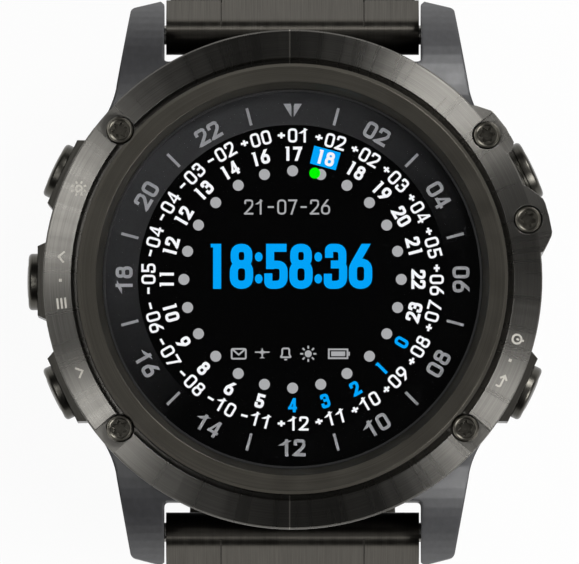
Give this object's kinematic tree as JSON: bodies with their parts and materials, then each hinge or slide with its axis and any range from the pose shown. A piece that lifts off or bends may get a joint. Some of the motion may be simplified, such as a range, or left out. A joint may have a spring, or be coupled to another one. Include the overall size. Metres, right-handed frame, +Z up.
{
  "type": "pilot wristwatch",
  "caption": "Round pilot's wristwatch with a world time dial, screwed bezel, buttons at both sides and a metal link bracelet on a folding clasp.",
  "frame": {"origin": "on the surface under the clasp, below the centre of the dial", "axes": "+Z up out of the dial, +Y to 12 o'clock along the bracelet, +X to 3 o'clock"},
  "size_m": [0.0537, 0.0688, 0.0605],
  "materials": {
    "titanium_brushed": "brushed along the ring and the links",
    "titanium_satin": "satin",
    "titanium_polished": "polished dark titanium",
    "steel_pin": "satin",
    "screw_dark": "dark satin",
    "polymer_black": "fine matt, fibre reinforced",
    "rubber_black": "matt",
    "window_dark": "gloss",
    "screen_black": "gloss, unlit",
    "ring_grey": "matt print",
    "sapphire": "clear, polished",
    "board_green": "solder mask",
    "cell_foil": "foil",
    "switch_grey": "matt",
    "contact_gold": "plated"
  },
  "bodies": {
    "head": {"case_body": "polymer_black", "back_cover": "titanium_satin", "back_screws": "steel_pin", "back_gasket": "rubber_black", "sensor_window": "window_dark", "sensor_board": "board_green", "charge_contacts": "contact_gold", "outer_bezel": "titanium_brushed", "inner_bezel": "titanium_polished", "bezel_screws": "screw_dark", "crystal": "sapphire", "crystal_gasket": "rubber_black", "hour_ring": "ring_grey", "display_panel": "screen_black", "module_frame": "polymer_black", "main_board": "board_green", "battery": "cell_foil", "vibration_motor": "cell_foil", "lug_bars": "steel_pin", "button_collars": "polymer_black", "button_seals": "rubber_black", "button_switches": "switch_grey"},
    "light_button": {"light_button": "titanium_satin"},
    "up_button": {"up_button": "titanium_satin"},
    "down_button": {"down_button": "titanium_satin"},
    "start_button": {"start_button": "titanium_satin"},
    "back_button": {"back_button": "titanium_satin"},
    "upper_end_link": {"upper_end_link": "titanium_brushed"},
    "upper_latch": {"upper_latch": "steel_pin"},
    "upper_link_1": {"upper_link_1": "titanium_brushed", "upper_pin_1": "steel_pin"},
    "upper_link_2": {"upper_link_2": "titanium_brushed", "upper_pin_2": "steel_pin"},
    "upper_link_3": {"upper_link_3": "titanium_brushed", "upper_pin_3": "steel_pin"},
    "upper_link_4": {"upper_link_4": "titanium_brushed", "upper_pin_4": "steel_pin"},
    "upper_link_5": {"upper_link_5": "titanium_brushed", "upper_pin_5": "steel_pin", "upper_spring_bar": "steel_pin"},
    "lower_end_link": {"lower_end_link": "titanium_brushed"},
    "lower_latch": {"lower_latch": "steel_pin"},
    "lower_link_1": {"lower_link_1": "titanium_brushed", "lower_pin_1": "steel_pin"},
    "lower_link_2": {"lower_link_2": "titanium_brushed", "lower_pin_2": "steel_pin"},
    "lower_link_3": {"lower_link_3": "titanium_brushed", "lower_pin_3": "steel_pin"},
    "lower_link_4": {"lower_link_4": "titanium_brushed", "lower_pin_4": "steel_pin"},
    "lower_link_5": {"lower_link_5": "titanium_brushed", "lower_pin_5": "steel_pin"},
    "clasp_cover": {"clasp_cover": "titanium_brushed", "lower_spring_bar": "steel_pin", "clasp_pin": "steel_pin"},
    "middle_blade": {"middle_blade": "titanium_brushed", "blade_pin": "steel_pin"},
    "inner_blade": {"inner_blade": "titanium_brushed"},
    "left_pusher": {"left_pusher": "titanium_brushed"},
    "right_pusher": {"right_pusher": "titanium_brushed"}
  },
  "joints": [
    {"name": "light_button_press", "type": "slide", "parent": "head", "child": "light_button", "axis": [0.9033, -0.4289, 0], "range_m": [0, 0.0005], "stiffness_N_per_m": 600, "springref_m": -0.001},
    {"name": "up_button_press", "type": "slide", "parent": "head", "child": "up_button", "axis": [1, 0, 0], "range_m": [0, 0.0005], "stiffness_N_per_m": 600, "springref_m": -0.001},
    {"name": "down_button_press", "type": "slide", "parent": "head", "child": "down_button", "axis": [0.9033, 0.4289, 0], "range_m": [0, 0.0005], "stiffness_N_per_m": 600, "springref_m": -0.001},
    {"name": "start_button_press", "type": "slide", "parent": "head", "child": "start_button", "axis": [-0.9033, -0.4289, 0], "range_m": [0, 0.0005], "stiffness_N_per_m": 600, "springref_m": -0.001},
    {"name": "back_button_press", "type": "slide", "parent": "head", "child": "back_button", "axis": [-0.9033, 0.4289, 0], "range_m": [0, 0.0005], "stiffness_N_per_m": 600, "springref_m": -0.001},
    {"name": "upper_lug_hinge", "type": "hinge", "parent": "head", "child": "upper_end_link", "pos_m": [0, 0.0256, 0.04689], "axis": [1, 0, 0], "range_deg": [0, 40]},
    {"name": "upper_latch_slide", "type": "slide", "parent": "upper_end_link", "child": "upper_latch", "axis": [0, 0.6428, -0.766], "range_m": [0, 0.0005], "stiffness_N_per_m": 400, "springref_m": -0.0008},
    {"name": "upper_hinge_1", "type": "hinge", "parent": "upper_end_link", "child": "upper_link_1", "pos_m": [0, 0.0284, 0.04356], "axis": [1, 0, 0], "range_deg": [0, 20]},
    {"name": "upper_hinge_2", "type": "hinge", "parent": "upper_link_1", "child": "upper_link_2", "pos_m": [0, 0.03168, 0.03454], "axis": [1, 0, 0], "range_deg": [0, 15]},
    {"name": "upper_hinge_3", "type": "hinge", "parent": "upper_link_2", "child": "upper_link_3", "pos_m": [0, 0.03252, 0.02498], "axis": [1, 0, 0], "range_deg": [0, 15]},
    {"name": "upper_hinge_4", "type": "hinge", "parent": "upper_link_3", "child": "upper_link_4", "pos_m": [0, 0.03085, 0.01552], "axis": [1, 0, 0], "range_deg": [0, 25]},
    {"name": "upper_hinge_5", "type": "hinge", "parent": "upper_link_4", "child": "upper_link_5", "pos_m": [0, 0.02534, 0.00766], "axis": [1, 0, 0], "range_deg": [0, 30]},
    {"name": "lower_lug_hinge", "type": "hinge", "parent": "head", "child": "lower_end_link", "pos_m": [0, -0.0256, 0.04689], "axis": [-1, 0, 0], "range_deg": [0, 40]},
    {"name": "lower_latch_slide", "type": "slide", "parent": "lower_end_link", "child": "lower_latch", "axis": [0, -0.6428, -0.766], "range_m": [0, 0.0005], "stiffness_N_per_m": 400, "springref_m": -0.0008},
    {"name": "lower_hinge_1", "type": "hinge", "parent": "lower_end_link", "child": "lower_link_1", "pos_m": [0, -0.0284, 0.04356], "axis": [-1, 0, 0], "range_deg": [0, 20]},
    {"name": "lower_hinge_2", "type": "hinge", "parent": "lower_link_1", "child": "lower_link_2", "pos_m": [0, -0.03168, 0.03454], "axis": [-1, 0, 0], "range_deg": [0, 15]},
    {"name": "lower_hinge_3", "type": "hinge", "parent": "lower_link_2", "child": "lower_link_3", "pos_m": [0, -0.03252, 0.02498], "axis": [-1, 0, 0], "range_deg": [0, 15]},
    {"name": "lower_hinge_4", "type": "hinge", "parent": "lower_link_3", "child": "lower_link_4", "pos_m": [0, -0.03085, 0.01552], "axis": [-1, 0, 0], "range_deg": [0, 25]},
    {"name": "lower_hinge_5", "type": "hinge", "parent": "lower_link_4", "child": "lower_link_5", "pos_m": [0, -0.02534, 0.00766], "axis": [-1, 0, 0], "range_deg": [0, 30]},
    {"name": "clasp_hinge", "type": "hinge", "parent": "lower_link_5", "child": "clasp_cover", "pos_m": [0, -0.01664, 0.0036], "axis": [-1, 0, 0], "range_deg": [0, 25]},
    {"name": "middle_blade_hinge", "type": "hinge", "parent": "clasp_cover", "child": "middle_blade", "pos_m": [0, 0.0125, 0.0026], "axis": [-1, 0, 0], "range_deg": [0, 50]},
    {"name": "inner_blade_hinge", "type": "hinge", "parent": "middle_blade", "child": "inner_blade", "pos_m": [0, -0.0125, 0.0034], "axis": [1, 0, 0], "range_deg": [0, 70]},
    {"name": "left_pusher_press", "type": "slide", "parent": "clasp_cover", "child": "left_pusher", "axis": [1, 0, 0], "range_m": [0, 0.0005], "stiffness_N_per_m": 500, "springref_m": -0.001},
    {"name": "right_pusher_press", "type": "slide", "parent": "clasp_cover", "child": "right_pusher", "axis": [-1, 0, 0], "range_m": [0, 0.0005], "stiffness_N_per_m": 500, "springref_m": -0.001}
  ]
}
